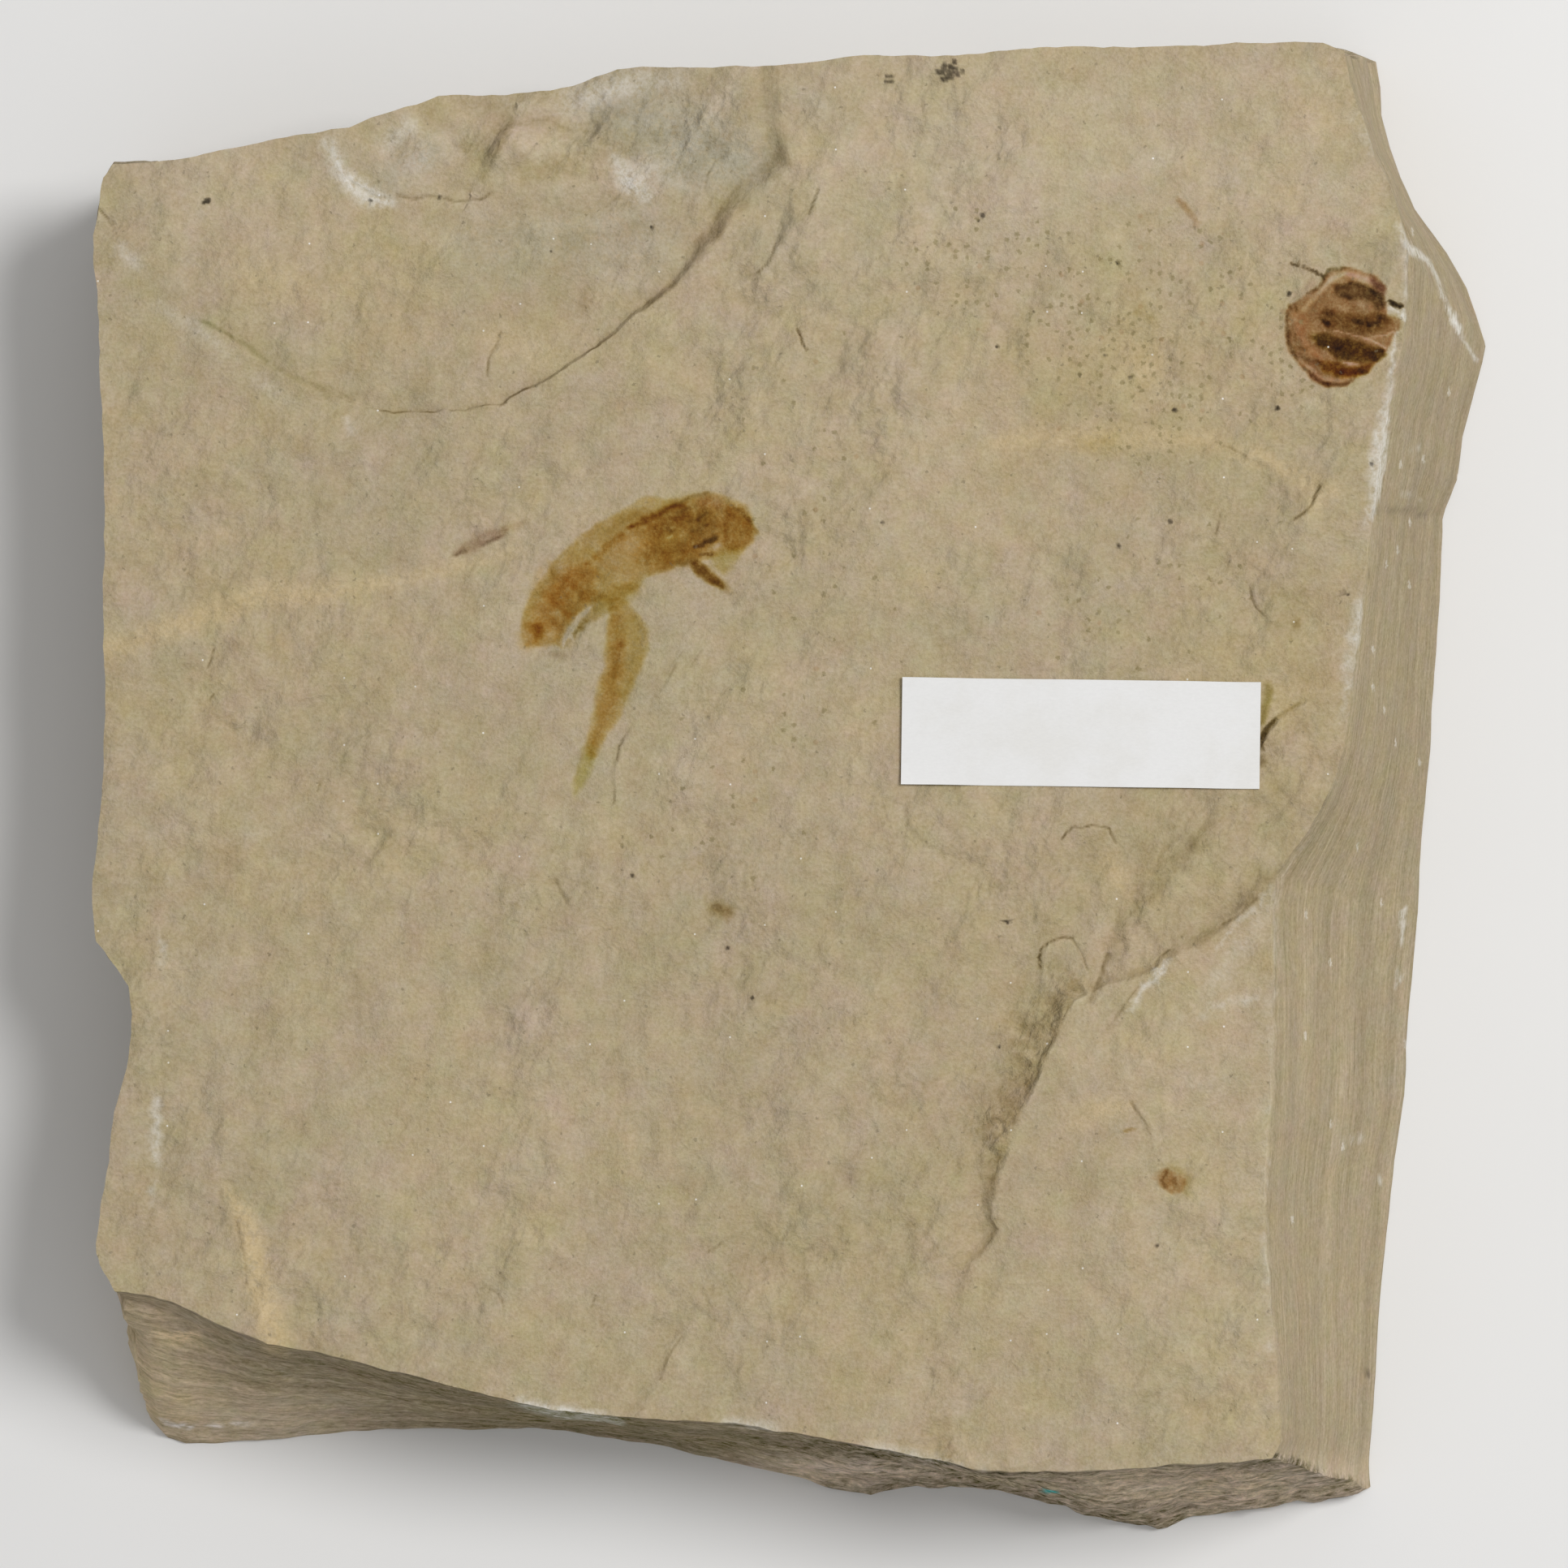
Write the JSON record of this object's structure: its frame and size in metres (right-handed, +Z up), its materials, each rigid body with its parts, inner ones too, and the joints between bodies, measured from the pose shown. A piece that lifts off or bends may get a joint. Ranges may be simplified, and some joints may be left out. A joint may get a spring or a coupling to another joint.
{
  "type": "fossil cricket in shale slab",
  "caption": "Flat, roughly square slab of finely layered shale showing a brown fossil cricket on its top face, with a blank paper label glued beside it, as a display specimen.",
  "frame": {"origin": "centre of the outer box at the slab's flat underside, which lies on the table", "axes": "+Z up out of the bedding plane that shows the fossil, +Y towards the back edge, which is the top of the picture, +X to the right"},
  "size_m": [0.1042, 0.1114, 0.017],
  "materials": {
    "shale": "dry matt tan shale, finely layered on its broken sides, with flat brown fossil stains",
    "paper": "plain white paper, matt"
  },
  "bodies": {
    "root": {"slab": "shale", "label": "paper"}
  },
  "joints": []
}
